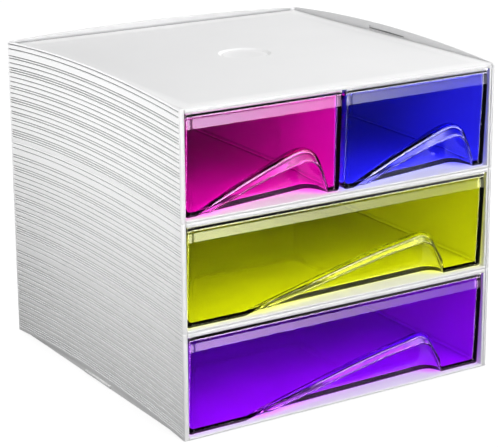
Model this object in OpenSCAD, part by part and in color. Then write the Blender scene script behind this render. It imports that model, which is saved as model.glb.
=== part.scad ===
// Desk drawer cube: three stacking casings, a clip-in divider and four clear drawers.
// The origin is the centre of the footprint on the surface it stands on.
// The drawer fronts face -Y, the cube is W wide along X and D deep along Y, and up is +Z.

/* [Casing] */
// Outside width of the cube
body_w = 166; // [150:1:190]
// Outside depth of the cube
body_d = 166; // [150:1:190]
// Height from one stacking seam to the next
tier_h = 49.1; // [46:0.1:56]
// Thickness of the side walls and the back wall
wall_t = 2.8; // [2.7:0.1:3.2]
// Thickness of each casing's ceiling plate
plate_t = 2; // [1.8:0.1:2.4]
// Thickness of each casing's floor
floor_t = 1; // [0.8:0.1:1.2]
// How far the side walls arch up at mid depth
crown_rise = 3.7; // [2:0.1:5]
// How far the back wall arches up at mid width
rear_rise = 2.4; // [1:0.1:4]
// Thickness of the arched rim that stands above the plate
crown_t = 1.3; // [1.2:0.1:1.4]

/* [Side grooves] */
// Depth of the moulded grooves in the side walls
groove_depth = 0.35; // [0.2:0.05:0.5]
// Width of one groove
groove_w = 0.45; // [0.3:0.05:0.6]

/* [Stacking clips and dish] */
// Length of the clip slots in the rims
slot_len = 29; // [20:1:40]
// Diameter of the blank round dish in the top plate
dish_d = 25; // [16:1:36]
// Depth of the dish
dish_depth = 0.8; // [0.4:0.1:1.2]

/* [Drawers] */
// Height of a drawer front
front_h = 45.5; // [43:0.1:46]
// Thickness of the drawer walls
drawer_t = 1.6; // [1.4:0.1:2]
// Thickness of the drawer floors
drawer_floor_t = 2; // [1.6:0.1:2.4]
// How far a drawer front's crease lies behind the casing's front edge
front_setback = 1; // [0.6:0.1:2]
// Extra setback of a drawer front at its lower edge
front_slope = 1.8; // [1:0.1:2.4]
// Height of the tilted brow strip along the top of a drawer front
brow_h = 7; // [5:0.5:9]
// Radius of the grip wave's crest
crest_r = 7; // [5:0.5:9]

/* [Hidden] */

$fn = 64;
arc_fn = 1440;
casing_white = [0.93, 0.93, 0.93];
// How far a cutter runs past the face it cuts, and a piece runs into the piece it joins.
over = 1;

half_w = body_w / 2;
half_d = body_d / 2;
seam_gap = 0.15;
fit_gap = 0.3;
skirt_inset = crown_t + fit_gap;
inner_w = body_w - 2 * wall_t;
back_inside = half_d - wall_t;
side_r = arch_radius(body_d, crown_rise);
rear_r = arch_radius(body_w, rear_rise);
edge_r = 0.8;

// The grooves follow a rhythm of one, two and three steps, 43 steps to a tier.
groove_steps = [1, 2, 3, 1, 2, 2, 1, 1, 2, 2, 2, 1, 2, 2, 1, 1, 2, 2, 1, 2, 1, 2, 2, 1, 1, 1];
groove_pitch = tier_h / 43;
groove_end = edge_r + 0.1;

slot_h = 1.7;
slot_depth = 0.8;
slot_lift = 0.15;
lug_len = slot_len - 4;
lug_h = 1.3;
lug_out = 0.8;
lug_lift = 0.35;

drawer_bottom = floor_t + fit_gap;
side_gap = 0.45;
wide_w = inner_w - 2 * side_gap;
divider_t = 1;
divider_gap = 0.35;
divider_front = 7;
divider_flange_w = 24;
divider_flange_t = 0.8;
divider_h = tier_h - plate_t - floor_t - fit_gap;
small_w = (wide_w - divider_t - 2 * divider_gap) / 2;
small_x = (small_w + divider_t) / 2 + divider_gap;
drawer_back_gap = 1.4;
drawer_len = body_d - wall_t - drawer_back_gap;
crease_h = front_h - brow_h;
brow_back = 0.5;
hood_front = 0.1;
hood_drop = 2.6;
hood_reach = 1.8;
bottom_r = 2;
recess_corner = 3;
recess_splay = 2.5;
front_zone = 20;
wave_below = 6;
bow_steps = 10;

// Grip waves as [start of the long leg, apex, height of the apex, foot of the steep leg,
// bow of the long leg, depth of the recess at its left end, and at its right end].
// x runs from the drawer's centre, and the two legs meet at the apex before it is rounded.
wide_wave = [-wide_w / 2 + 27.4, wide_w / 2 - 31.8, 21.5, wide_w / 2 - 20.5, 1.3, 6.5, 9.5];
small_wave = [-small_w / 2 + 4.2, small_w / 2 - 14.5, 22.8, small_w / 2 - 5.7, 1, 5, 12];

// Radius of the arc with this chord and this rise.
function arch_radius(chord, rise) = (chord * chord / 4 + rise * rise) / (2 * rise);

// Sum of the first n + 1 groove steps.
function steps_to(n) = n < 0 ? 0 : groove_steps[n] + steps_to(n - 1);

// Unit vector along v.
function unit(v) = v / norm(v);

// Points of a corner at p between the directions of a and b, rounded to radius r.
function rounded_corner(a, p, b, r, n = 12) =
    let (u = unit(a - p),
         v = unit(b - p),
         half = acos(u * v) / 2,
         centre = p + unit(u + v) * r / sin(half),
         start = p + u * r / tan(half) - centre,
         sweep = 180 - 2 * half)
    [for (i = [0 : n])
        let (t = -sweep * i / n)
        centre + [start[0] * cos(t) - start[1] * sin(t), start[0] * sin(t) + start[1] * cos(t)]];

// ---------------------------------------------------------------- casings

// Outline of an arched wall: chord wide, tier_h tall, its top and bottom edges arched alike.
module arched_outline(chord, rise, radius, crowned) {
    difference() {
        intersection() {
            translate([0, tier_h + rise - radius])
                circle(r = radius, $fn = arc_fn);
            translate([-chord / 2, 0])
                square([chord, crowned ? tier_h + rise : tier_h]);
        }
        translate([0, rise + seam_gap - radius])
            circle(r = radius, $fn = arc_fn);
    }
}

// One side wall at -X: the crowned rim, the web behind it and the skirt that nests below.
module side_wall() {
    translate([-half_w, 0, 0])
        rotate([90, 0, 90]) {
            linear_extrude(crown_t)
                arched_outline(body_d, crown_rise, side_r, true);
            translate([0, 0, crown_t / 2])
                linear_extrude(wall_t - crown_t / 2)
                    arched_outline(body_d, crown_rise, side_r, false);
        }
    translate([-half_w + skirt_inset, -half_d, 0])
        cube([wall_t - skirt_inset, body_d, tier_h]);
}

// The back wall, built like the side walls.
module back_wall() {
    translate([0, half_d, 0])
        rotate([90, 0, 0]) {
            linear_extrude(crown_t)
                arched_outline(body_w, rear_rise, rear_r, true);
            translate([0, 0, crown_t / 2])
                linear_extrude(wall_t - crown_t / 2)
                    arched_outline(body_w, rear_rise, rear_r, false);
        }
    translate([-half_w + skirt_inset, half_d - wall_t, 0])
        cube([body_w - 2 * skirt_inset, wall_t - skirt_inset, tier_h]);
}

// Cutters for the arched grooves of the side wall at -X.
module side_grooves() {
    span = asin((half_d - groove_end) / side_r);
    for (i = [0 : len(groove_steps) - 1]) {
        groove_z = tier_h - groove_pitch * steps_to(i);
        translate([-half_w, 0, groove_z + crown_rise - side_r])
            rotate([90, 0, 90])
                rotate([0, 0, 90 - span])
                    rotate_extrude(angle = 2 * span, $fn = arc_fn)
                        translate([side_r - groove_w / 2, -groove_depth])
                            square([groove_w, 2 * groove_depth]);
    }
}

// Cutter that rounds an outside edge lying along Z at the origin, towards +X and +Y.
module edge_cutter(r, len) {
    difference() {
        translate([-over, -over, -over])
            cube([r + over, r + over, len + 2 * over]);
        translate([r, r, -2 * over])
            cylinder(r = r, h = len + 4 * over);
    }
}

// Lug on the foot of the skirt at -X, which snaps into the slot of the rim below.
module stacking_lug() {
    translate([-half_w + skirt_inset - lug_out, -lug_len / 2, lug_lift])
        cube([lug_out + over, lug_len, lug_h]);
}

// Slot in the inner face of the rim at -X, just above the plate.
module clip_slot() {
    translate([-half_w + crown_t - slot_depth, -slot_len / 2, tier_h + slot_lift])
        cube([slot_depth + over, slot_len, slot_h]);
}

module both_sides() {
    children();
    mirror([1, 0, 0])
        children();
}

// One whole casing, open at the front, standing on z = 0.
module casing() {
    difference() {
        union() {
            both_sides() {
                side_wall();
                stacking_lug();
            }
            back_wall();
            translate([-half_w + skirt_inset, -half_d, 0])
                cube([body_w - 2 * skirt_inset, body_d - skirt_inset, floor_t]);
            translate([-half_w + wall_t / 2, -half_d, tier_h - plate_t])
                cube([body_w - wall_t, body_d - wall_t / 2, plate_t]);
        }
        both_sides() {
            side_grooves();
            clip_slot();
            translate([-half_w, -half_d, 0])
                edge_cutter(edge_r, tier_h);
        }
        translate([-half_w, -half_d, tier_h])
            rotate([0, 90, 0])
                edge_cutter(edge_r, body_w);
    }
}

// Shallow blank dish, a spherical hollow in the top plate.
module top_dish() {
    dish_r = (dish_d * dish_d / 4 + dish_depth * dish_depth) / (2 * dish_depth);
    translate([0, 0, tier_h + dish_r - dish_depth])
        sphere(r = dish_r, $fn = 180);
}

module bottom_casing() {
    color(casing_white)
        casing();
}

module middle_casing() {
    color(casing_white)
        translate([0, 0, tier_h])
            casing();
}

module top_casing() {
    color(casing_white)
        translate([0, 0, 2 * tier_h])
            difference() {
                casing();
                top_dish();
            }
}

// Divider between the two small drawers: an upright blade on a flange against the back wall.
module centre_divider() {
    color(casing_white)
        translate([0, 0, 2 * tier_h + floor_t]) {
            translate([-divider_t / 2, -half_d + divider_front, 0])
                cube([divider_t, body_d - wall_t - divider_front, divider_h]);
            translate([-divider_flange_w / 2, back_inside - divider_flange_t, 0])
                cube([divider_flange_w, divider_flange_t, divider_h]);
        }
}

// ---------------------------------------------------------------- drawers

// Outline under a grip wave, in front view, lowered by drop and with its steep leg moved in.
function wave_points(wave, drop, leg_in) =
    let (apex = [wave[1] - leg_in, wave[2] - drop],
         long_slope = wave[2] / (wave[1] - wave[0]),
         steep_slope = wave[2] / (wave[3] - wave[1]),
         start = [apex[0] - (apex[1] + wave_below) / long_slope, -wave_below],
         foot = [apex[0] + (apex[1] + wave_below) / steep_slope, -wave_below],
         crest = rounded_corner(start, apex, foot, crest_r))
    concat(
        [for (i = [0 : bow_steps - 1])
            let (u = i / bow_steps)
            start + (crest[0] - start) * u + [0, 4 * wave[4] * u * (1 - u)]],
        crest,
        [foot]);

// Prism of the wave outline along Y, from the front to y1.
module wave_prism(wave, drop, leg_in, y1) {
    translate([0, y1, 0])
        rotate([90, 0, 0])
            linear_extrude(y1 + over)
                polygon(wave_points(wave, drop, leg_in));
}

// Plan of the finger recess, grown by g: a slanting back wall between two rounded ends.
module recess_prism(wave, g) {
    left_back = [wave[0] + 2 * wave[5] - g, wave[5] + g];
    right_back = [wave[3] - recess_splay + g, wave[6] + g];
    left_front = [wave[0] - 2 * g, -front_zone / 4];
    right_front = [wave[3] + over + g, -front_zone / 4];
    translate([0, 0, -over])
        linear_extrude(front_h)
            polygon(concat(
                [left_front],
                rounded_corner(left_front, left_back, right_back, recess_corner + g),
                rounded_corner(left_back, right_back, right_front, recess_corner + g),
                [right_front]));
}

// Block with the drawer's side view: brow, crease and sloping panel, set in by g on all sides.
module front_profile_solid(w, g, top, back) {
    slope = front_slope / crease_h;
    points = [
        [front_setback + g + front_slope - slope * g, g],
        [front_setback + g, crease_h],
        [front_setback + g + brow_back * (top - crease_h) / brow_h, top],
        [back, top],
        [back, g]];
    translate([-w / 2 + g, 0, 0])
        rotate([90, 0, 90])
            linear_extrude(w - 2 * g)
                polygon(points);
}

// Grip hood: a sloping lip along the wave, from the panel forward and down to the front edge.
module grip_hood(w, wave) {
    tilt = atan(hood_drop / hood_reach);
    squash = cos(tilt);
    panel_y = front_setback + front_slope * (1 - wave[2] / crease_h);
    outer = [for (p = wave_points(wave, 0, 0)) [p[0], p[1] * squash]];
    inner = [for (p = wave_points(wave, drawer_t, drawer_t)) [p[0], p[1] * squash]];
    intersection() {
        translate([0, panel_y, 0])
            rotate([90 + tilt, 0, 0])
                translate([0, 0, -2 * wave[2]])
                    linear_extrude(4 * wave[2])
                        difference() {
                            polygon(outer);
                            polygon(inner);
                        }
        translate([-w / 2, hood_front, 0])
            cube([w, panel_y + drawer_t - hood_front, front_h]);
    }
}

// One drawer of width w, its front at the casing's front edge and its underside at z = 0.
module drawer(w, wave) {
    difference() {
        union() {
            difference() {
                front_profile_solid(w, 0, front_h, drawer_len);
                intersection() {
                    wave_prism(wave, 0, 0, front_zone);
                    recess_prism(wave, 0);
                }
                difference() {
                    front_profile_solid(w, drawer_t, front_h + over, drawer_len - drawer_t);
                    translate([-w, -over, -over])
                        cube([2 * w, drawer_len + 2 * over, drawer_floor_t + over]);
                    intersection() {
                        wave_prism(wave, -drawer_t, -drawer_t, front_zone);
                        recess_prism(wave, drawer_t);
                    }
                }
            }
            grip_hood(w, wave);
        }
        for (side = [0, 1])
            mirror([side, 0, 0]) {
                translate([-w / 2, drawer_len, 0])
                    rotate([90, 0, 0])
                        edge_cutter(bottom_r, drawer_len);
            }
    }
}

module placed_drawer(w, wave, x, tier) {
    translate([x, -half_d, tier * tier_h + drawer_bottom])
        drawer(w, wave);
}

module magenta_drawer() {
    color([0.85, 0.05, 0.55, 0.6])
        placed_drawer(small_w, small_wave, -small_x, 2);
}

module blue_drawer() {
    color([0.15, 0.15, 0.85, 0.6])
        placed_drawer(small_w, small_wave, small_x, 2);
}

module lime_drawer() {
    color([0.8, 0.85, 0.05, 0.6])
        placed_drawer(wide_w, wide_wave, 0, 1);
}

module purple_drawer() {
    color([0.45, 0.1, 0.85, 0.6])
        placed_drawer(wide_w, wide_wave, 0, 0);
}

bottom_casing();
middle_casing();
top_casing();
centre_divider();
magenta_drawer();
blue_drawer();
lime_drawer();
purple_drawer();
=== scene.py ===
# %% [markdown]
# # A desk drawer tower in white and clear coloured plastic
#
# The object is a small cube of three stacked white casings with four clear drawers: two small ones side by
# side at the top, magenta and blue, and two wide ones below, lime and purple. Each casing and each drawer
# is one injection moulding. The CAD model already has every piece in its place, so this script dresses
# those pieces: it makes a finer surface for each one and gives it its plastic.
#
# Everything is measured in millimetres here and turned into Blender's metres when a mesh is made. X runs to
# the right, Z runs up, and the drawers open toward -Y.

import math
from types import SimpleNamespace

import bmesh
import bpy
import numpy as np
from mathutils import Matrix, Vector


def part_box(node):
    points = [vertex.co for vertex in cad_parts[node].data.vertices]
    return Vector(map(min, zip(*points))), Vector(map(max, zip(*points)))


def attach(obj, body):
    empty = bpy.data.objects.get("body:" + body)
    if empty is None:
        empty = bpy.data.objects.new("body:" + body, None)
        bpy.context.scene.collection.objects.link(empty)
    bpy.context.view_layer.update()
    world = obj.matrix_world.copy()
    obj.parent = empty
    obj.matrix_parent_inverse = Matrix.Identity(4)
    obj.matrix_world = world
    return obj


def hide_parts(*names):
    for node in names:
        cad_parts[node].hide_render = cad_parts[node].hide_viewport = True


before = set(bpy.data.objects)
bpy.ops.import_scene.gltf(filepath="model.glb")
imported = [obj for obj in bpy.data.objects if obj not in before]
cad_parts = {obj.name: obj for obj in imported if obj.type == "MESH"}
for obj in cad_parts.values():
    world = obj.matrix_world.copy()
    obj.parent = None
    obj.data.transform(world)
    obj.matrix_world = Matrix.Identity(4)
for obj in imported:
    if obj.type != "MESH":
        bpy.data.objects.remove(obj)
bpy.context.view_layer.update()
MM = 0.001


def node_box(node):
    """Lowest and highest corner of a CAD node, in millimetres."""
    low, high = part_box(node)
    return np.array(low) / MM, np.array(high) / MM


print("nodes to dress:", sorted(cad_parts))

# %% [markdown]
# ## Helpers for surfaces made of rows of points
#
# A moulding like this is easiest to describe by its cross-section. A section is a row of points, and a
# surface is many such rows side by side, so a whole surface is one array of shape (rows, points in a row,
# 3). The faces then follow a fixed pattern, and no loop over single points is needed.


# %% Faces of a grid, and a surface turned outward
def grid_faces(rows, cols, closed=False):
    """Quads between neighbours of a rows x cols grid, where point (r, c) has the index r * cols + c."""
    r = np.arange(rows - 1)[:, None]
    c = np.arange(cols if closed else cols - 1)[None, :]
    after = (c + 1) % cols
    quads = np.stack([r * cols + c, r * cols + after, (r + 1) * cols + after, (r + 1) * cols + c], -1)
    return quads.reshape(-1, 4).tolist()


def enclosed_volume(points, faces):
    """Sum over all triangles of a . (b x c) / 6, which is positive if the faces look outward."""
    fans = [(f[0], f[i], f[i + 1]) for f in faces for i in range(1, len(f) - 1)]
    a, b, c = (points[np.array(fans)[:, i]] for i in range(3))
    return float(np.einsum("ij,ij->i", a, np.cross(b, c)).sum() / 6)


def outward(points, faces, shade=None):
    """The closed surface (points, faces, shade) with all its faces looking outward."""
    if enclosed_volume(points, faces) < 0:
        faces = [list(reversed(f)) for f in faces]
    return points, faces, np.zeros(len(points)) if shade is None else shade.ravel()


def lofted(sections, shade=None):
    """Closed surface through closed sections of shape (n, m, 3), capped at both ends."""
    n, m, _ = sections.shape
    caps = [list(range(m)), list(range((n - 1) * m, n * m))]
    caps[0].reverse()
    return outward(sections.reshape(-1, 3), grid_faces(n, m, closed=True) + caps, shade)


print("quads in a grid of 3 x 4 points:", len(grid_faces(3, 4)))

# %% [markdown]
# Rounded edges and soft changes come up all over the object, so their two formulas are written once.


# %% Soft steps and rounded edges
def ease(t):
    """Smooth step 3t^2 - 2t^3 from 0 to 1."""
    t = np.clip(t, 0, 1)
    return t * t * (3 - 2 * t)


def edge_round(distance, radius):
    """How far a surface is set back at a distance from a rounded edge: r - sqrt(r^2 - (r - d)^2)."""
    left = np.clip(radius - distance, 0, radius)
    return radius - np.sqrt(radius**2 - left**2)


print("set back by a 1 mm round at 0, 0.5 and 1 mm:", edge_round(np.array([0, 0.5, 1]), 1.0).round(3))

# %% [markdown]
# The finished surfaces become mesh objects here. Faces that meet at a shallow angle are shaded as one
# smooth surface, and sharper edges stay crisp, as on a moulded part.
#
# Rows that end in the same place have to share their points, or the surface has fine slits. So each place
# is rounded to a thousandth of a millimetre first, and points that then coincide are merged. Every point
# also carries a number named groove, which the plastics read later as painted light and shade: 1 is painted
# shade, in the bottom of a groove or along a free edge of clear plastic, 0 is plain, and -1 is a painted
# highlight where an edge of white plastic catches the light.

# %% Turn surfaces into one mesh object
PLACE_DECIMALS = 3
SAME_PLACE = 1e-7
SHARP_DEG = 35


def add_piece(name, surfaces, material):
    """One object from a list of closed surfaces, each (points in mm, faces, shade of each point)."""
    points, faces, shades, start = [], [], [], 0
    for surface_points, surface_faces, shade in surfaces:
        points.append(surface_points)
        shades.append(shade)
        faces += [[i + start for i in f] for f in surface_faces]
        start += len(surface_points)
    places = np.round(np.concatenate(points), PLACE_DECIMALS) * MM
    mesh = bpy.data.meshes.new(name)
    mesh.from_pydata(places.tolist(), [], faces)
    # the groove number of each point: painted shade above 0, painted light below 0
    mesh.attributes.new("groove", "FLOAT", "POINT").data.foreach_set("value", np.concatenate(shades))
    made = bmesh.new()
    made.from_mesh(mesh)
    bmesh.ops.remove_doubles(made, verts=made.verts, dist=SAME_PLACE)
    open_edges = sum(1 for e in made.edges if len(e.link_faces) != 2)
    made.to_mesh(mesh)
    made.free()
    mesh.polygons.foreach_set("use_smooth", [True] * len(mesh.polygons))
    mesh.set_sharp_from_angle(angle=math.radians(SHARP_DEG))
    mesh.materials.append(material)
    piece = bpy.data.objects.new(name, mesh)
    bpy.context.scene.collection.objects.link(piece)
    print(f"{name}: {len(mesh.vertices)} points, {len(mesh.polygons)} faces, {open_edges} open edges")
    return piece


# %% [markdown]
# ## The moulded surface, shared by all the plastics
#
# Moulded plastic is never quite even. Its tone clouds a little over a few centimetres, places that are
# touched are slightly rougher, and a fine grain from the steel of the mould covers everything. All five
# plastics of the tower have this, each to its own degree, so it is one shader group with the limits of each
# effect as inputs. Noise on Object coordinates stays still when a drawer moves, because each piece keeps
# its own coordinates.


# %% A material, and the nodes that the group is made of
def new_material(name):
    """A material with nodes, and its Principled shader."""
    material = bpy.data.materials.new(name)
    material.use_nodes = True
    shader = next(n for n in material.node_tree.nodes if n.type == "BSDF_PRINCIPLED")
    return material, shader


def noise(tree, vector, scale, detail):
    """Noise value whose features are about 1 / scale metres wide."""
    node = tree.nodes.new("ShaderNodeTexNoise")
    node.inputs["Scale"].default_value = scale
    node.inputs["Detail"].default_value = detail
    tree.links.new(vector, node.inputs["Vector"])
    return node.outputs["Fac"]


NOISE_LOW = 0.3
NOISE_HIGH = 0.7


def spread(tree, value, low, high):
    """Map a noise value, which mostly stays near NOISE_LOW to NOISE_HIGH, onto the sockets low to high."""
    node = tree.nodes.new("ShaderNodeMapRange")
    node.inputs["From Min"].default_value = NOISE_LOW
    node.inputs["From Max"].default_value = NOISE_HIGH
    tree.links.new(low, node.inputs["To Min"])
    tree.links.new(high, node.inputs["To Max"])
    tree.links.new(value, node.inputs["Value"])
    return node.outputs["Result"]


# %% The group of the moulded surface
CLOUD_SCALE = 22.0
TOUCHED_SCALE = 60.0
GRAIN_SCALE = 1800.0
MOULDED_INPUTS = {"Tone Low": 0.97, "Tone High": 1.0, "Rough Low": 0.3, "Rough High": 0.45}

moulding = bpy.data.node_groups.new("moulded_surface", "ShaderNodeTree")
for name, value in MOULDED_INPUTS.items():
    moulding.interface.new_socket(name, in_out="INPUT", socket_type="NodeSocketFloat").default_value = value
for name in ("Tone", "Roughness", "Height"):
    moulding.interface.new_socket(name, in_out="OUTPUT", socket_type="NodeSocketFloat")
limits = moulding.nodes.new("NodeGroupInput").outputs
given = moulding.nodes.new("NodeGroupOutput").inputs
coordinates = moulding.nodes.new("ShaderNodeTexCoord").outputs["Object"]
cloud = noise(moulding, coordinates, CLOUD_SCALE, 3.0)
touched = noise(moulding, coordinates, TOUCHED_SCALE, 4.0)
grain = noise(moulding, coordinates, GRAIN_SCALE, 1.0)
moulding.links.new(spread(moulding, cloud, limits["Tone Low"], limits["Tone High"]), given["Tone"])
moulding.links.new(spread(moulding, touched, limits["Rough Low"], limits["Rough High"]), given["Roughness"])
moulding.links.new(grain, given["Height"])
print("inputs of the moulded surface:", list(MOULDED_INPUTS))

# %% [markdown]
# A material places the group with its own limits. Roughness and grain go straight to the shader. The tone
# comes back to the caller, because each plastic multiplies it with a colour of its own.

# %% Place the group in a material
GRAIN_HEIGHT = 0.00002


def moulded(material, shader, tone, rough, bump_strength):
    """Place the group in a material, feed roughness and bump, and return the tone output."""
    nodes, links = material.node_tree.nodes, material.node_tree.links
    surface = nodes.new("ShaderNodeGroup")
    surface.node_tree = moulding
    for name, value in zip(MOULDED_INPUTS, tone + rough):
        surface.inputs[name].default_value = value
    links.new(surface.outputs["Roughness"], shader.inputs["Roughness"])
    bump = nodes.new("ShaderNodeBump")
    bump.inputs["Strength"].default_value = bump_strength
    bump.inputs["Distance"].default_value = GRAIN_HEIGHT
    links.new(surface.outputs["Height"], bump.inputs["Height"])
    links.new(bump.outputs["Normal"], shader.inputs["Normal"])
    return surface.outputs["Tone"]


def painted_shade_value(material):
    """The number named groove that every point of a piece carries: its painted shade, or painted light
    below 0.
    """
    node = material.node_tree.nodes.new("ShaderNodeAttribute")
    node.attribute_name = "groove"
    return node.outputs["Fac"]


def scaled(material, colour, factor):
    """Colour, a tuple or a socket, multiplied by a value socket."""
    node = material.node_tree.nodes.new("ShaderNodeVectorMath")
    node.operation = "SCALE"
    if isinstance(colour, tuple):
        node.inputs["Vector"].default_value = colour
    else:
        material.node_tree.links.new(colour, node.inputs["Vector"])
    material.node_tree.links.new(factor, node.inputs["Scale"])
    return node.outputs["Vector"]


# %% [markdown]
# ## White plastic
#
# The casings are opaque white plastic with a soft sheen. The grooves in their sides are only about half a
# millimetre deep, and soft lamps hardly darken anything that small. So a colour ramp on the groove number
# paints light and shade into the colour: painted shade, dark grey, in the bottom of a groove and wherever
# else the number marks shade, plain white between, and a painted highlight, a lighter line, on the lower
# edge and on the rings that the number marks as lit.

# %% White plastic
# Colours of the ramp: a painted highlight at groove -1, the plastic's own white at 0, painted shade at 1
PAINTED_HIGHLIGHT = (0.97, 0.97, 0.975, 1)
PLAIN_WHITE = (0.885, 0.885, 0.89, 1)
PAINTED_SHADE_GREY = (0.1, 0.1, 0.105, 1)

white_plastic, white_shader = new_material("white_plastic")
nodes, links = white_plastic.node_tree.nodes, white_plastic.node_tree.links
ramp_place = nodes.new("ShaderNodeMapRange")
ramp_place.inputs["From Min"].default_value = -1.0
links.new(painted_shade_value(white_plastic), ramp_place.inputs["Value"])
# the ramp that paints light and shade into the colour from the groove number
light_and_shade_ramp = nodes.new("ShaderNodeValToRGB")
light_and_shade_ramp.color_ramp.elements[0].color = PAINTED_HIGHLIGHT
light_and_shade_ramp.color_ramp.elements[1].color = PAINTED_SHADE_GREY
light_and_shade_ramp.color_ramp.elements.new(0.5).color = PLAIN_WHITE
links.new(ramp_place.outputs["Result"], light_and_shade_ramp.inputs["Fac"])
white_tone = moulded(white_plastic, white_shader, tone=(0.985, 1.0), rough=(0.34, 0.42), bump_strength=0.25)
links.new(scaled(white_plastic, light_and_shade_ramp.outputs["Color"], white_tone), white_shader.inputs["Base Color"])
print("white plastic:", PLAIN_WHITE[:3])

# %% [markdown]
# ## Clear coloured plastic
#
# The drawers are clear plastic, tinted in the mass. The Principled shader with full transmission bends
# light at each face and mirrors what stands around, and a Volume Absorption node makes long ways through
# the plastic deeper in colour. What such a wall mirrors is tinted too, because much of the light that comes
# back has been inside it, so the specular tint takes a share of the colour. Two things need help:
#
# - A free edge of tinted plastic looks nearly black, because light that enters it runs along inside the
#   wall. The groove number marks those edges, and the tint is taken down there as painted shade.
# - Cycles can't aim at a lamp through a face that bends light, so all behind it would lie in a hard shadow.
#   Rays that look for a lamp, and rays that bounce off a matt surface, therefore meet a plain tinted window
#   instead of the glassy shader. The window has the square root of the tint, because a wall has two faces.

# %% The two helpers of clear plastic
# share of the tint left where the painted shade of a free edge is full
EDGE_KEEPS = 0.02


def dark_edged(material, tint, tone):
    """Tint times tone times a share, which falls from 1 where groove is 0 to EDGE_KEEPS where it is 1:
    painted shade.
    """
    nodes, links = material.node_tree.nodes, material.node_tree.links
    kept = nodes.new("ShaderNodeMapRange")
    kept.inputs["To Min"].default_value = 1.0
    kept.inputs["To Max"].default_value = EDGE_KEEPS
    links.new(painted_shade_value(material), kept.inputs["Value"])
    share = nodes.new("ShaderNodeMath")
    share.operation = "MULTIPLY"
    links.new(kept.outputs["Result"], share.inputs[0])
    links.new(tone, share.inputs[1])
    return scaled(material, tint, share.outputs["Value"])


def add_window(material, shader, face_tint):
    """Let shadow rays and diffuse rays through a window of face_tint, and show the shader to all others."""
    nodes, links = material.node_tree.nodes, material.node_tree.links
    window = nodes.new("ShaderNodeBsdfTransparent")
    window.inputs["Color"].default_value = face_tint
    path = nodes.new("ShaderNodeLightPath")
    straight = nodes.new("ShaderNodeMath")
    straight.operation = "MAXIMUM"
    links.new(path.outputs["Is Shadow Ray"], straight.inputs[0])
    links.new(path.outputs["Is Diffuse Ray"], straight.inputs[1])
    mix = nodes.new("ShaderNodeMixShader")
    links.new(straight.outputs["Value"], mix.inputs[0])
    links.new(shader.outputs["BSDF"], mix.inputs[1])
    links.new(window.outputs["BSDF"], mix.inputs[2])
    output = next(n for n in nodes if n.type == "OUTPUT_MATERIAL")
    links.new(mix.outputs["Shader"], output.inputs["Surface"])
    return output


# %% Clear plastic, and the four colours of the drawers
CLEAR_IOR = 1.5
CLEAR_DENSITY = 250


def clear_plastic(name, tint, deep):
    """Clear plastic: a wall leaves tint of white light, and thick places take the colour deep."""
    material, shader = new_material(name)
    face_tint = (*np.sqrt(tint), 1)
    shader.inputs["IOR"].default_value = CLEAR_IOR
    shader.inputs["Transmission Weight"].default_value = 1.0
    shader.inputs["Specular Tint"].default_value = face_tint
    tone = moulded(material, shader, tone=(0.94, 1.0), rough=(0.01, 0.035), bump_strength=0.1)
    links = material.node_tree.links
    links.new(dark_edged(material, tint, tone), shader.inputs["Base Color"])
    output = add_window(material, shader, face_tint)
    volume = material.node_tree.nodes.new("ShaderNodeVolumeAbsorption")
    volume.inputs["Color"].default_value = (*deep, 1)
    volume.inputs["Density"].default_value = CLEAR_DENSITY
    links.new(volume.outputs["Volume"], output.inputs["Volume"])
    return material


DRAWER_COLOURS = {
    "magenta": ((0.98, 0.30, 0.90), (0.9, 0.1, 0.8)),
    "blue": ((0.58, 0.56, 1.0), (0.3, 0.3, 0.95)),
    "lime": ((0.89, 0.90, 0.31), (0.92, 0.93, 0.1)),
    "purple": ((0.80, 0.30, 0.95), (0.75, 0.1, 0.97)),
}
drawer_plastic = {
    colour: clear_plastic(f"{colour}_clear_plastic", tint, deep)
    for colour, (tint, deep) in DRAWER_COLOURS.items()
}
print("clear plastics:", list(drawer_plastic))

# %% [markdown]
# ## The casings
#
# A casing is a box without a front. Its two sides and its back are one wall that is bent round two corners,
# so its section is drawn once and carried along a U-shaped path. At the foot a skirt is set in behind the
# skin, and at the top a thin rim stands up in an arch, so that the casings stack.
#
# The wall is built as two layers, a grooved skin and a plain liner inside it. They overlap a little, so
# they look like one wall, but at the front edge the liner is set back, which gives the fine step of the
# real posts.

# %% Sizes of a casing, from the CAD
_, casing_high = node_box("bottom_casing")
HALF_W = casing_high[0]
HALF_D = casing_high[1]
SIDE_RISE = 3.7  # rise of the arch over a side wall
BACK_RISE = 2.4  # and over the back wall
TIER_H = casing_high[2] - SIDE_RISE
WALL = 2.8
PLATE = 2.0
FLOOR = 1.0
RIM = 1.3  # thickness of the rim that stands up above the plate
SKIRT = 1.5  # how far the skirt's outer face lies behind the skin's
SKIN = 1.7  # thickness of the grooved skin
OVERLAP = 0.1  # how far the liner runs into the skin
LINER_BACK = 0.45  # how far the liner is set back at the front edge
SEAM = 0.15  # gap that shows between two casings
EDGE_R = 0.8  # radius of the front edges
BACK_EDGE_R = 0.6  # radius of the upright back corners
print("tier height", TIER_H, "half width", HALF_W)

# %% [markdown]
# The grooves follow a rhythm of one, two and three steps, 43 steps to a tier. Each runs parallel to the
# arch of the side and fades out just before the rounded front edge. A groove's section is seven points from
# its upper to its lower edge, given by height, by depth into the wall, and by the groove number for the
# plastic, which paints shade into the groove's bottom and a highlight on its lower edge.

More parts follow.
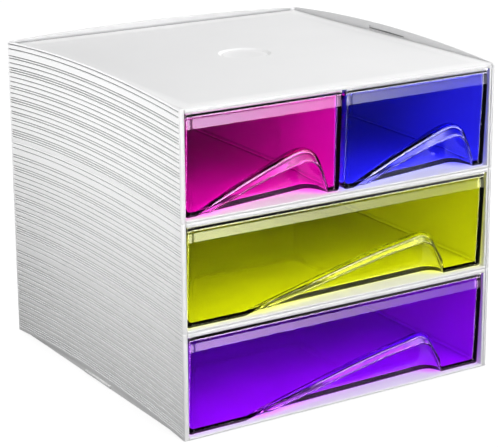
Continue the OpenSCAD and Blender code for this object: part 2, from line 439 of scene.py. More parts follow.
# %% Grooves of the side walls
STEPS_PER_TIER = 43
GROOVE_STEPS = [1, 2, 3, 1, 2, 2, 1, 1, 2, 2, 2, 1, 2, 2, 1, 1, 2, 2, 1, 2, 1, 2, 2, 1, 1, 1]
groove_z = TIER_H - TIER_H / STEPS_PER_TIER * np.cumsum(GROOVE_STEPS)
GROOVE_DZ = np.array([0.33, 0.28, 0.24, -0.14, -0.18, -0.28, -0.38])
GROOVE_IN = np.array([0.0, 0.08, 0.50, 0.50, 0.44, 0.12, 0.0])
# groove numbers across a groove: painted shade at its bottom, a painted highlight (-1) on its lower edge
GROOVE_SHADE = np.array([0.0, 0.6, 1.0, 1.0, 0.5, -1.0, 0.0])
GROOVE_FRONT = 0.45  # the grooves start this far behind the front edge and are full after as much again
GROOVE_END = 82.1  # and they have faded out at this y, just before the back corner
GROOVE_FADE = 0.6
print("grooves on a side of one casing:", len(groove_z))

# %% [markdown]
# The path needs its stations close together where something happens: round the front edge, at the ends of
# the clip slot, and at the back corner. Between those places evenly spaced stations keep the arch round.


# %% Stations along a side wall and along the back wall
def arch(s, half, rise):
    """Height of a circular arch at s along its chord of length 2 * half: sqrt(R^2 - s^2) - (R - rise)."""
    big_r = (half**2 + rise**2) / (2 * rise)
    return np.sqrt(big_r**2 - np.asarray(s) ** 2) - (big_r - rise)


SLOT_HALF = 14.5
SLOT_STEP = 0.01  # the slot's ends step in over this length, so they look square
TURN_FROM = 76.0  # from here on the inward direction turns toward the corner's diagonal
front_round = EDGE_R * (1 - np.cos(np.radians([0, 18, 36, 54, 72, 90])))
before_slot = np.linspace(4, HALF_D - SLOT_HALF - 0.6, 18)
side_y = np.concatenate(
    [
        np.concatenate([front_round, [0.9, 1.5, 2.5], before_slot]) - HALF_D,
        [-SLOT_HALF - SLOT_STEP, -SLOT_HALF],
        np.linspace(-SLOT_HALF + 1, SLOT_HALF - 1, 9),
        [SLOT_HALF, SLOT_HALF + SLOT_STEP],
        np.linspace(SLOT_HALF + 0.6, TURN_FROM, 18),
        [77.5, 79, 80, 81, 81.5, 81.8, GROOVE_END, HALF_D - BACK_EDGE_R],
    ]
)
back_half = np.concatenate([[-82.4, -81, -79, -TURN_FROM], np.linspace(-72, 0, 12)])
back_x = np.concatenate([back_half, -back_half[-2::-1]])
print("stations along a side:", len(side_y), "and along the back:", len(back_x))

# %% [markdown]
# Each station of the path is an outer point and a direction that leads into the wall. On the straight runs
# it is square to the face, and near a corner it turns until it lies on the diagonal, so that the rows never
# cross.

# %% Outer points and inward directions
MIRROR_X = np.array([-1.0, 1.0])
CORNER_TURN = np.radians([22.5, 45, 67.5])
corner_centre = np.array([-HALF_W + BACK_EDGE_R, HALF_D - BACK_EDGE_R])
corner_outer = corner_centre + BACK_EDGE_R * np.stack([-np.cos(CORNER_TURN), np.sin(CORNER_TURN)], -1)
corner_in = np.tile([1.0, -1.0], (len(CORNER_TURN), 1))
side_slant = np.clip((side_y - TURN_FROM) / (HALF_D - BACK_EDGE_R - TURN_FROM), 0, 1)
back_slant = np.clip((np.abs(back_x) - TURN_FROM) / (HALF_W - BACK_EDGE_R - TURN_FROM), 0, 1)
back_slant = back_slant * np.sign(-back_x)
half_outer = np.concatenate([np.stack([np.full(len(side_y), -HALF_W), side_y], -1), corner_outer])
half_in = np.concatenate([np.stack([np.ones(len(side_y)), -side_slant], -1), corner_in])
back_outer = np.stack([back_x, np.full(len(back_x), HALF_D)], -1)
back_in = np.stack([back_slant, -np.ones(len(back_x))], -1)
path_outer = np.concatenate([half_outer, back_outer, half_outer[::-1] * MIRROR_X])
path_in = np.concatenate([half_in, back_in, half_in[::-1] * MIRROR_X])
print("stations along the wall:", len(path_outer))

# %% [markdown]
# What changes along the path is kept as one value per station: the distance from the front edge, the height
# of the arch, and how fully the grooves, the clip slot and the gutter of the back wall are there, from 0 to
# 1.


# %% Values along the path
def along_wall(on_side, on_corner, on_back):
    """Values of the whole path: left side, its corner, the back, then corner and side in reverse."""
    half_path = np.concatenate([on_side, np.full(len(CORNER_TURN), on_corner)])
    return np.concatenate([half_path, on_back, half_path[::-1]])


FAR = 99.0  # a distance from the front edge at which nothing is rounded
GUTTER_END = 81.0
not_there = np.zeros(len(back_x))
groove_share = ease((side_y + HALF_D - GROOVE_FRONT) / GROOVE_FRONT)
groove_share = groove_share * ease((GROOVE_END - side_y) / GROOVE_FADE)
slot_share = (np.abs(side_y) <= SLOT_HALF).astype(float)
gutter_share = np.clip((GUTTER_END - np.abs(back_x)) / 2, 0, 1)
path_d = along_wall(side_y + HALF_D, FAR, not_there + FAR)
path_arch = along_wall(arch(side_y, HALF_D, SIDE_RISE), 0, arch(back_x, HALF_W, BACK_RISE))
path_groove = along_wall(groove_share, 0, not_there)
path_slot = along_wall(slot_share, 0, not_there)
path_back = along_wall(0 * side_y, 0, gutter_share)
print("highest point of the arch:", path_arch.max().round(3), "mm above the plate")

# %% [markdown]
# The section starts at the skirt's foot, goes up the inner side of the skin to the plate, over the rim, and
# down the grooved face. Each part of it is a short function that gives three tables with a row per station:
# how deep its points lie in the wall, how high they are, and their groove number. The top casing's plate
# sinks a little toward the back, so the parts that follow the plate are lowered with it. Along the back a
# narrow gutter lies between plate and rim. It is in shade, and so is the rim's inner face behind it, so the
# groove number paints both darker as painted shade.

# %% Parts of the section: up to the plate, and the clip slot
CROWN_IN_R = 0.35
CROWN_OUT_R = 0.22
GUTTER = 0.45
SLOT_DEPTH = 0.8
# painted shade on the rim's inner face along the back
SHADED_RIM = 0.22
SINK_FROM = 60  # the top plate starts to fall this far before its middle
SINK_OVER = 140  # and is at its lowest after this length
QUARTER = np.radians([0, 22.5, 45, 67.5, 90])[None, :]
one = np.ones((len(path_d), 1))
lift = path_arch[:, None]
at_back = path_back[:, None]
level = TIER_H - edge_round(path_d, EDGE_R)[:, None]


def sunk(y, sink):
    """How far the top plate lies below its front edge at y: it falls gently toward the back."""
    return sink * ease((y + SINK_FROM) / SINK_OVER)


def up_to_plate(sink):
    """From the skirt's foot up behind the skin, over the plate's edge and through the gutter to the rim."""
    o = np.array([[SKIRT, SKIN, SKIN, RIM + 0.38, RIM + 0.36, RIM + 0.02, RIM]]) * one
    bottom = level - GUTTER * at_back
    z = np.concatenate([0 * one, 0 * one, level, level, bottom, bottom, level], 1)
    z = z - sunk(path_outer[:, 1:], sink) * np.array([[0, 0, 1, 1, 1, 1, 1]])
    # painted shade in the gutter's bottom, a little less at the rim's foot
    return o, z, at_back * np.array([[0, 0, 0, 0, 1, 1, 0.7]])


def clip_slot():
    """Up the rim's inner face, which steps into the wall where the clip slot is."""
    depth = RIM - SLOT_DEPTH * path_slot[:, None]
    o = np.concatenate([RIM * one, depth, depth, RIM * one], 1)
    z = level + lift / SIDE_RISE * np.array([[0.15, 0.15, 1.85, 1.85]])
    return o, z, at_back * np.full((1, 4), SHADED_RIM)


# %% Parts of the section: the crown, the grooves and the hem
GROOVE_STACK = 0.004  # points of grooves that would lie above the crown are stacked this far apart below it
HEM_R = 0.12


def crown():
    """Over the rim's rounded top, from its inner to its outer face: two quarter circles."""
    inner_r = np.minimum(CROWN_IN_R, 0.45 * lift)
    outer_r = CROWN_OUT_R * one
    top = level + lift
    o = np.concatenate([RIM - inner_r * (1 - np.cos(QUARTER)), outer_r * (1 - np.sin(QUARTER))], 1)
    z = np.concatenate([top - inner_r * (1 - np.sin(QUARTER)), top - outer_r * (1 - np.cos(QUARTER))], 1)
    return o, z, at_back * np.array([[SHADED_RIM] * 3 + [0.0] * 7])


def grooves(crown_end):
    """Down the outer face through all the grooves, none of them higher than the end of the crown."""
    o = (path_groove[:, None, None] * GROOVE_IN).repeat(len(groove_z), 1).reshape(len(path_groove), -1)
    plain_z = (groove_z[:, None] + GROOVE_DZ).reshape(1, -1)
    count = np.arange(plain_z.shape[1])[None, :]
    z = np.minimum(plain_z + lift, crown_end - GROOVE_STACK * (count + 1))
    return o, z, path_groove[:, None] * np.tile(GROOVE_SHADE, len(groove_z))


def hem():
    """Round the skin's lower edge, which follows the arch of the casing below, and back in to the skirt."""
    turn = QUARTER[:, ::2]
    base = lift + SEAM
    o = np.concatenate([HEM_R * (1 - np.cos(turn)) * one, SKIRT * one], 1)
    z = np.concatenate([base + HEM_R * (1 - np.sin(turn)), base], 1)
    return o, z, 0 * z


# %% The skin and the liner of the wall
SOFT_EDGE = np.array([0.2, 0.06, 0.0])
SOFT_DEPTH = np.array([0.0, 0.07, 0.25])
LINER_FROM = 0.9


def wall_sections(sink):
    """Rows of (x, y, z) of the skin, and their groove numbers, with the front edge rounded."""
    over_rim = crown()
    parts = [up_to_plate(sink), clip_slot(), over_rim, grooves(over_rim[1][:, -1:]), hem()]
    o, z, shade = (np.concatenate(tables, 1) for tables in zip(*parts))
    o = o + edge_round(path_d, EDGE_R)[:, None] * (1 - o / SKIN)
    xy = path_outer[:, None, :] + o[:, :, None] * path_in[:, None, :]
    return np.concatenate([xy, z[:, :, None]], 2), shade


def liner_sections(sink):
    """Rows of (x, y, z) of the liner: a rectangle between the skin and the wall's inner face."""
    keep = path_d >= LINER_FROM
    front_d = LINER_BACK + SOFT_DEPTH
    ends = np.stack([np.full(3, -HALF_W), front_d - HALF_D], -1)
    straight = np.tile([1.0, 0.0], (3, 1))
    outer = np.concatenate([ends, path_outer[keep], ends[::-1] * MIRROR_X])
    inward = np.concatenate([straight, path_in[keep], straight * MIRROR_X])
    d = np.concatenate([front_d, path_d[keep], front_d[::-1]])
    soft = np.concatenate([SOFT_EDGE, 0 * path_d[keep], SOFT_EDGE[::-1]])[:, None]
    top = (TIER_H - edge_round(d, EDGE_R) - sunk(outer[:, 1], sink))[:, None]
    in_skin = SKIN - OVERLAP + 0 * soft
    o = np.concatenate([in_skin, WALL - soft, WALL - soft, in_skin], 1)
    z = np.concatenate([0 * top, 0 * top, top, top], 1)
    xy = outer[:, None, :] + o[:, :, None] * inward[:, None, :]
    return np.concatenate([xy, z[:, :, None]], 2)


print("skin sections:", wall_sections(0)[0].shape, "liner sections:", liner_sections(0).shape)

# %% [markdown]
# The ceiling plate and the floor are flat slabs between the walls. A slab is a stack of level rings, from
# its top ring down to its bottom ring. Only its front edge is rounded, so only the front line of each ring
# moves.

# %% Rings of a slab
INNER_X = HALF_W - WALL + 0.05
INNER_Y = HALF_D - WALL + 0.05
RING_SIDE = 32
SLAB_TURN = np.radians([0, 15, 30, 45, 60, 75, 90])


def rectangle_ring(front, z):
    """Closed ring of 4 * RING_SIDE points round a slab whose front line is at y = front."""
    t = np.arange(RING_SIDE) / RING_SIDE
    still = np.zeros(RING_SIDE)
    x0, x1, y0, y1 = -INNER_X, INNER_X, front, INNER_Y
    x = np.concatenate([x0 + (x1 - x0) * t, x1 + still, x1 + (x0 - x1) * t, x0 + still])
    y = np.concatenate([y0 + still, y0 + (y1 - y0) * t, y1 + still, y1 + (y0 - y1) * t])
    return np.stack([x, y, np.full(4 * RING_SIDE, z)], -1)


# %% [markdown]
# The top plate's middle has a shallow round dish, and there the rings go on inward from the rectangle to a
# circle. The dish is a shallow bowl inside a steeper round wall, with a fine crease between the two. The
# groove number of each ring is given one by one, from the dish's middle out, and paints light and shade:
# painted light on the outer part of the bowl, painted shade in the crease, painted light on the wall, the
# plate plain, and painted light again along its border.

# %% Rings of the dish
DISH_LIP = 0.15
BOWL_RISE = 0.5
BOWL_SHARE = np.array([0.02, 0.2, 0.4, 0.6, 0.75, 0.84])
DISH_SHARE = np.concatenate([BOWL_SHARE, [0.855, 0.875, 0.9, 0.93, 0.96, 0.98, 0.992, 1.0]])
DISH_WALL = [0.74, 0.58, 0.38, 0.19, 0.08, 0.03, 0.005]  # depth of the last rings below the plate
FIELD_SHARE = (1, 0.97, 0.9, 0.75, 0.5, 0.25, 0.1, 0.07, 0.04)
# Groove numbers of the rings: above 0 painted shade, below 0 painted light. SLAB_SHADE paints light on a
# slab's top ring.
BOWL_SHADE = [0.0, 0.0, 0.0, -0.2, -0.8, -0.8, 0.5, -0.6, -1.0, -1.0, -1.0, -1.0, -0.5, 0.0]
FIELD_SHADE = [0.0] * 7 + [-0.6, -1.0]
SLAB_SHADE = [-1.0] + [0.0] * (2 * len(SLAB_TURN) - 1)


def dish_rings(outer, radius, depth):
    """Rings from the dish's middle to its lip, then outward by shares until they meet the ring outer."""
    way = np.arctan2(outer[:, 1], outer[:, 0])
    circle = np.stack([np.cos(way), np.sin(way)], -1) * (radius + DISH_LIP)
    fall = depth - BOWL_RISE * (DISH_SHARE / BOWL_SHARE[-1]) ** 2
    fall[len(BOWL_SHARE) - 1 :] = [depth - BOWL_RISE, depth - BOWL_RISE, *DISH_WALL]
    bowl = [
        np.concatenate([circle / (radius + DISH_LIP) * radius * s, outer[:, 2:] - f], 1)
        for s, f in zip(DISH_SHARE, fall)
    ]
    field = [np.concatenate([outer[:, :2] * (1 - u) + circle * u, outer[:, 2:]], 1) for u in FIELD_SHARE]
    return bowl + field


def slab(top, bottom, top_r, bottom_r, dish=None, sink=0):
    """Closed slab from z = bottom to top with a rounded front edge; dish is (radius, depth)."""
    up, forward = np.cos(SLAB_TURN), np.sin(SLAB_TURN)
    fronts = -HALF_D + np.concatenate([top_r * (1 - forward), bottom_r * (1 - up)])
    heights = np.concatenate([top - top_r * (1 - up), bottom + bottom_r * (1 - forward)])
    rings = [rectangle_ring(y, z) for y, z in zip(fronts, heights)]
    edge_rings = len(rings)
    shades = SLAB_SHADE
    if dish:
        rings = dish_rings(rings[0], *dish) + rings
        shades = BOWL_SHADE + FIELD_SHADE + SLAB_SHADE
    rings = np.stack(rings)
    height_share = np.ones_like(rings[..., 2])
    height_share[-edge_rings:] = (rings[-edge_rings:, :, 2] - bottom) / (top - bottom)
    rings[..., 2] -= height_share * sunk(rings[..., 1], sink)
    return lofted(rings, np.repeat(np.array(shades)[:, None], 4 * RING_SIDE, 1))


# %% [markdown]
# Under each skirt a small lug sticks out. It snaps into the slot in the rim of the casing below. With that,
# all the parts of a casing are there: the three casings differ only in where they stand, and in the dish
# and the slightly sunken plate of the top one.

# %% Lugs and the three casings
LUG_MIDDLE_Z = 1.0


def lug(side):
    """Closed lug on the skirt of the side at -X or +X: a section in x and z, carried along y."""
    x = -HALF_W + np.array([1.65, 1.0, 0.8, 0.8, 1.0, 1.65])
    z = np.array([0.35, 0.35, 0.55, 1.45, 1.65, 1.65])
    y = np.array([-12.5, -12.3, 12.3, 12.5])
    smaller = np.array([0.85, 1.0, 1.0, 0.85])[:, None]
    xs = x[0] + (x - x[0])[None, :] * smaller
    zs = LUG_MIDDLE_Z + (z - LUG_MIDDLE_Z)[None, :] * smaller
    return lofted(np.stack([-side * xs, np.repeat(y[:, None], len(x), 1), zs], -1))


def moved(surface, x=0.0, y=0.0, z=0.0):
    """The surface moved by (x, y, z) millimetres."""
    points, faces, shade = surface
    return points + np.array([x, y, z]), faces, shade


HIDDEN_EDGE_R = 0.25  # radius of the edges that hardly show
TOP_DISH = (12.5, 1.2)
TOP_SINK = 1.2


def casing(name, node, tier, dish=None, sink=0.0):
    """One casing on the given tier, which takes the place of its CAD node."""
    parts = [
        lofted(*wall_sections(sink)),
        lofted(liner_sections(sink)),
        slab(TIER_H, TIER_H - PLATE, EDGE_R, HIDDEN_EDGE_R, dish, sink),
        slab(FLOOR, 0, HIDDEN_EDGE_R, HIDDEN_EDGE_R),
        lug(-1),
        lug(1),
    ]
    piece = add_piece(name, [moved(p, z=tier * TIER_H) for p in parts], white_plastic)
    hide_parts(node)
    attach(piece, "casing")
    return piece


casing("casing_bottom", "bottom_casing", 0)
casing("casing_middle", "middle_casing", 1)
casing("casing_top", "top_casing", 2, dish=TOP_DISH, sink=TOP_SINK)

# %% [markdown]
# ## The divider
#
# Between the two small drawers stands a thin blade on a flange that lies against the back wall. Seen from
# above it is a T, so its outline is drawn in plan and carried upward.

# %% Divider
divider_low, divider_high = node_box("centre_divider")
BLADE_HALF = 0.5
FLANGE = 0.8
blade_turn = np.radians(np.linspace(-90, 90, 9))
nose_x = BLADE_HALF * np.sin(blade_turn)
nose_y = divider_low[1] + BLADE_HALF * (1 - np.cos(blade_turn))
flange_half = divider_high[0]
foot_x = np.array([BLADE_HALF, flange_half, flange_half, -flange_half, -flange_half, -BLADE_HALF])
foot_y = divider_high[1] - np.array([FLANGE, FLANGE, 0, 0, FLANGE, FLANGE])
plan = np.stack([np.concatenate([nose_x, foot_x]), np.concatenate([nose_y, foot_y])], -1)
ends_z = (divider_low[2], divider_high[2])
levels = np.stack([np.concatenate([plan, np.full((len(plan), 1), z)], 1) for z in ends_z])
divider = add_piece("divider", [lofted(levels)], white_plastic)
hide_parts("centre_divider")
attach(divider, "casing")

# %% [markdown]
# ## The drawers
#
# A drawer's front is one clear wall with a wave pressed into it. Under the wave the wall swings back into a
# smooth scoop for the fingers, and along the wave a hood leans forward as a lip. Two curves hold its shape,
# both drawn in front view from the drawer's lower left corner: the ridge, where the scoop's ceiling meets
# the inside of the front, and the lip, the rounded free edge of the hood. The wide and the small drawers
# have waves of their own, and each wave is a few points that a smooth curve joins.

# %% Sizes of a drawer
FRONT_H = 45.5
DRAWER_LEN = 161.8
DRAWER_T = 1.6
DRAWER_FLOOR = 2.0
CREASE_H = 38.5  # height of the crease between the sloping panel and the tilted brow
SETBACK = 1.0  # how far the crease lies behind the casing's front edge
SLOPE = 1.8  # how much farther back the panel's foot is
BROW_BACK = 0.5  # and how much farther back the brow's top is
HOOD_FRONT = 0.1  # how far the hood stays behind the casing's front edge
LIP_R = 0.65
SCOOP_R = 6.5
CORNER_R = 0.8  # upright corners of the front
BELLY_R = 2.0  # edges along the underside
TOP_CORNER_R = 1.2  # ends of the top edge
RIM_R = 1.75  # height of the rim on its outer face
RIM_IN_R = 0.8  # and on its inner face
FRAME_UP = 0.2  # how far a raised strip along each side of the front stands out
FRAME_W = 2.8  # its width
FRAME_STEP = 0.5  # and the width of its soft step

# %% Curves of the grips, in mm from the lower left corner of the drawer's front
WIDE_RIDGE = np.array(
    [(18, -1.0), (30, 1.75), (47.5, 5.9), (68.4, 10.95), (89.8, 15.95), (107, 19.2), (119.5, 21.3)]
    + [(124.6, 21.8), (128.4, 20.3), (132.7, 14.0), (135.4, 8.6), (137.6, 4.2), (140.6, -2.0)]
)
WIDE_LIP = np.array(
    [(20, -1.5), (34, 1.7), (51.1, 5.0), (72.3, 9.3), (94, 13.6), (110, 16.3), (119.5, 17.5)]
    + [(124.6, 17.8), (128.6, 16.2), (132.3, 11.7), (134.8, 6.9), (136.7, 2.2), (138.3, -2.0)]
)
SMALL_RIDGE = np.array(
    [(-4, -2.4), (6, 1.9), (17.5, 6.7), (32.2, 12.9), (47.3, 18.6), (55.5, 21.4), (60.2, 21.8)]
    + [(64.2, 20.3), (67.5, 16.4), (70.3, 10.2), (72.4, 4.9), (75.0, -2.0)]
)
SMALL_LIP = np.array(
    [(-3, -2.8), (8, 0.6), (21.9, 5.7), (36, 10.6), (48, 14.2), (55.6, 15.9), (60.9, 16.5)]
    + [(64.9, 15.0), (67.9, 10.9), (69.7, 6.2), (70.9, 2.1), (72.0, -2.0)]
)
CURVE_POINTS = 900


def smooth_curve(knots):
    """Natural cubic spline through the knots, over their chord length."""
    step = np.linalg.norm(np.diff(knots, axis=0), axis=1)
    t = np.concatenate([[0], np.cumsum(step)])
    n = len(t)
    matrix = np.eye(n)
    right = np.zeros((n, 2))
    inner = np.arange(1, n - 1)
    matrix[inner, inner - 1] = step[:-1]
    matrix[inner, inner] = 2 * (step[:-1] + step[1:])
    matrix[inner, inner + 1] = step[1:]
    rise = np.diff(knots, axis=0) / step[:, None]
    right[inner] = 6 * np.diff(rise, axis=0)
    bend = np.linalg.solve(matrix, right)
    s = np.linspace(0, t[-1], CURVE_POINTS)
    k = np.clip(np.searchsorted(t, s, side="right") - 1, 0, n - 2)
    h, a, b = step[k][:, None], (t[k + 1] - s)[:, None], (s - t[k])[:, None]
    return (
        bend[k] * a**3 / (6 * h)
        + bend[k + 1] * b**3 / (6 * h)
        + (knots[k] / h - bend[k] * h / 6) * a
        + (knots[k + 1] / h - bend[k + 1] * h / 6) * b
    )


print("height of the wide wave:", smooth_curve(WIDE_RIDGE)[:, 1].max().round(2), "mm")

# %% [markdown]
# In side view the front is a crease with a tilted brow above it and a sloping panel below. A fine bead runs
# just under the rim, where a real front shows a thin bright line.


# %% The front's side view, and the depth of the scoop
def shifted_inward(curve, amount):
    """The curve moved by amount along its normal, to the side that lies under the wave."""
    way = np.gradient(curve, axis=0)
    way /= np.linalg.norm(way, axis=1)[:, None]
    return curve + amount * np.stack([way[:, 1], -way[:, 0]], -1)


def front_line(z):
    """Depth of the outer face at height z: straight lines up and down from SETBACK at the crease."""
    panel = SETBACK + SLOPE * (1 - z / CREASE_H)
    brow = SETBACK + BROW_BACK * (z - CREASE_H) / (FRONT_H - CREASE_H)
    return np.where(z > CREASE_H, brow, panel)


BEAD_FOOT = FRONT_H - 2.45
BEAD_FRONT = FRONT_H - 2.25


def bead(z):
    """Extra depth of the fine bead under the rim: forward over its foot, back over its sloping face."""
    return np.interp(z, [BEAD_FOOT, BEAD_FRONT, FRONT_H - RIM_R], [0.0, -0.045, 0.039])


def along(a, b, share):
    """Points from a to b, given per row, at each share of the way."""
    return a[:, None] + (b - a)[:, None] * share[None, :]


def scoop_depth(x, z, curve, start, deep, radius):
    """Depth of the scoop at a distance d under the wave: start + (deep - start) sqrt(1 - (1 - d / r)^2)."""
    x = np.repeat(x[:, None], z.shape[1], 1)
    gap = np.hypot(x[:, :, None] - curve[:, 0], z[:, :, None] - curve[:, 1]).min(2)
    near = 1 - np.clip(gap / radius, 0, 1)
    return start + (deep - start) * np.sqrt(1 - near**2)


# %% [markdown]
# At its two feet the wave dies out in the plain front. So one value per place across the front, grow, says
# how fully the grip is there, and every part of the grip shrinks toward the plain panel with it.

# %% The grip at every place across the front
STEEPEST = 2.6  # the lip is at most this many times as tall as deep, where the wave is steep
LOWEST_LIP = 0.2  # the lip's middle stays this much above the drawer's underside
HOOD_RISE = 1.5  # the hood's foot lies at most this much above the scoop's ceiling
LEFT_GROWTH = 3.0  # left of the crest the grip is full where the scoop is this high
RIGHT_GROWTH = 6.0  # and right of it here
RIDGE_R = 1.1  # height of the curved ridge over the hood
RIDGE_OUT = 0.14  # and how far it stands out from the panel
SCOOP_START = 1.1  # thickness of the wall where the scoop's ceiling begins


def grip_at(x, ridge, lip, back_deep):
    """Heights and depths of the grip at each x.

    root is the height of the scoop's ceiling and top_z that of the hood's foot on the panel. lip_z and
    lip_up are the middle and the half height of the lip. face_y, start_y and deep are the depths of the
    panel, of the scoop's ceiling and of its back.
    """
    curve = shifted_inward(ridge, DRAWER_T)
    inside = (x > curve[:, 0].min()) & (x < curve[:, 0].max())
    root = np.where(inside, np.clip(np.interp(x, curve[:, 0], curve[:, 1]), 0, None), 0)
    lip_line = np.interp(x, lip[:, 0], lip[:, 1])
    lip_z = np.maximum(lip_line, LOWEST_LIP)
    lip_up = LIP_R * np.clip(np.sqrt(1 + np.gradient(lip_line, x) ** 2), 1, STEEPEST)
    crest_x = ridge[np.argmax(ridge[:, 1]), 0]
    grow = ease(root / np.where(x > crest_x, RIGHT_GROWTH, LEFT_GROWTH))
    hood_z = np.minimum(lip_z + lip_up, root + HOOD_RISE * grow)
    top_z = np.where(root > 0, np.maximum(root, hood_z), 0)
    face_y = front_line(top_z) - RIDGE_OUT * grow
    return SimpleNamespace(
        curve=curve,
        root=root,
        top_z=top_z,
        lip_z=lip_z,
        lip_up=lip_up,
        grow=grow,
        face_y=face_y,
        start_y=face_y + SCOOP_START * grow,
        deep=back_deep[0] + back_deep[1] * x,
    )


# %% [markdown]
# The outer skin follows one section after another from the front's top edge, down over the brow and the
# panel, forward over the hood, round its lip, back under it into the scoop, along the underside and up the
# back. Each stretch gives two tables with a row per place across the front: the depths y and the heights z.

# %% Outer skin: brow and panel, then hood and lip
CREASE_Z = [CREASE_H + 0.1, CREASE_H, CREASE_H - 0.1]
BROW_Z = np.array([FRONT_H - RIM_R, BEAD_FRONT, BEAD_FOOT, 42, 40] + CREASE_Z)
PANEL_SHARE = np.linspace(0.06, 1, 11)
RIDGE_UP = np.array([[0.66, 0.33, 0.0]])
RIDGE_CURVE = np.array([0.12, 0.45, 1.0])
HOOD_SHARE = np.array([0.07, 0.17, 0.3, 0.5, 0.7, 0.88])
# groove numbers of the hood's first rows: a painted dark line just under the ridge
HOOD_SHADE = np.array([0.5, 0.9, 0.0, 0.0, 0.0, 0.0])
LIP_TURN = np.radians([35, 55, 72, 90, 108, 126, 145, 165, 185, 205])
UNDER_SHARE = np.array([0.2, 0.45, 0.7, 0.9, 1.0])


def brow_and_panel(x, grip):
    """Down over the brow and the panel, which curves out into the ridge over the hood."""
    z_brow = np.repeat(BROW_Z[None, :], len(x), 0)
    y_brow = front_line(z_brow) + bead(z_brow)
    ridge_up = RIDGE_R * grip.grow
    z_panel = along(np.full(len(x), CREASE_Z[-1]), grip.top_z + ridge_up, PANEL_SHARE)
    z_ridge = grip.top_z[:, None] + ridge_up[:, None] * RIDGE_UP
    z_panel = np.concatenate([z_panel, z_ridge], 1)
    y_panel = front_line(z_panel)
    y_panel[:, -3:] -= RIDGE_OUT * grip.grow[:, None] * RIDGE_CURVE
    return np.concatenate([y_brow, y_panel], 1), np.concatenate([z_brow, z_panel], 1)


def hood_and_lip(x, grip):
    """Forward over the hood, round the lip and back: the lip is an ellipse that shrinks with the grip."""
    face_y, top_z, grow = (v[:, None] for v in (grip.face_y, grip.top_z, grip.grow))
    y_lip = HOOD_FRONT + LIP_R - LIP_R * np.sin(LIP_TURN)[None, :] + 0 * x[:, None]
    z_lip = grip.lip_z[:, None] + grip.lip_up[:, None] * np.cos(LIP_TURN)[None, :]
    y_lip = face_y + grow * (y_lip - face_y)
    z_lip = np.clip(top_z + grow * (z_lip - top_z), 0, None)
    y_hood = along(grip.face_y, y_lip[:, 0], HOOD_SHARE)
    z_hood = along(grip.top_z, z_lip[:, 0], HOOD_SHARE)
    y_under = along(y_lip[:, -1], grip.start_y, UNDER_SHARE)
    z_under = along(z_lip[:, -1], grip.root, UNDER_SHARE)
    return np.concatenate([y_hood, y_lip, y_under], 1), np.concatenate([z_hood, z_lip, z_under], 1)


# %% Outer skin: scoop, then underside and back
FALL = [0.14, 0.2, 0.28, 0.38, 0.5, 0.64, 0.8, 1.0]
OUTER_FALL = np.array([0.0006, 0.003, 0.008, 0.018, 0.035, 0.06, 0.095] + FALL)
FOOT_R = 0.3
FOOT_GROWTH = 1.2
REAR_TURN = np.radians([22.5, 45, 67.5, 90])[None, :]
REAR_Z = [10.0, 25, 40]


def outer_scoop(x, grip):
    """Down the back of the scoop and round its small foot, or straight down where there is no grip."""
    foot = FOOT_R * ease(grip.root / FOOT_GROWTH)
    start_y = grip.start_y[:, None]
    z_scoop = along(grip.root, foot, OUTER_FALL)
    y_scoop = scoop_depth(x, z_scoop, grip.curve, start_y, grip.deep[:, None], SCOOP_R)
    y_scoop = np.where(grip.root[:, None] > 0, np.maximum(y_scoop, start_y), start_y)
    y_foot = y_scoop[:, -1:] + foot[:, None] * np.array([[0.3, 1.0]])
    z_foot = foot[:, None] * np.array([[0.3, 0.0]])
    return np.concatenate([y_scoop, y_foot], 1), np.concatenate([z_scoop, z_foot], 1)


def floor_and_back(start_y, back_y, bottom, top, share):
    """Along the floor at height bottom, round a quarter circle and up the back to the height top."""
    y_floor = along(start_y, back_y - BELLY_R, share)
    y_rear = back_y[:, None] - BELLY_R * (1 - np.sin(REAR_TURN))
    y_back = np.repeat(back_y[:, None], len(REAR_Z) + 1, 1)
    z_floor = bottom + 0 * y_floor
    z_rear = bottom + BELLY_R * (1 - np.cos(REAR_TURN)) + 0 * y_rear
    z_back = np.repeat(np.array([REAR_Z + [top]]), len(back_y), 0)
    return np.concatenate([y_floor, y_rear, y_back], 1), np.concatenate([z_floor, z_rear, z_back], 1)


# %% [markdown]
# The stretches are joined here, and the front's own edges are rounded: its corners turn back, its underside
# turns up, and the ends of its top edge turn down. A narrow strip along each side stands out a little. The
# groove number is 1 at the rim and nearly 1 just under the ridge: painted shade for the dark lines that a
# real clear drawer shows there.

# %% Outer skin of a drawer
OUTER_FLOOR_SHARE = np.array([0.02, 0.1, 0.3, 0.6, 1.0])
FRONT_Y = 3.0  # the front's rounding fades out from this depth on
FADE_Y = 6.0
BELLY_FADE = 12.0
TOP_FROM = 34.0
TOP_FADE = 9.0


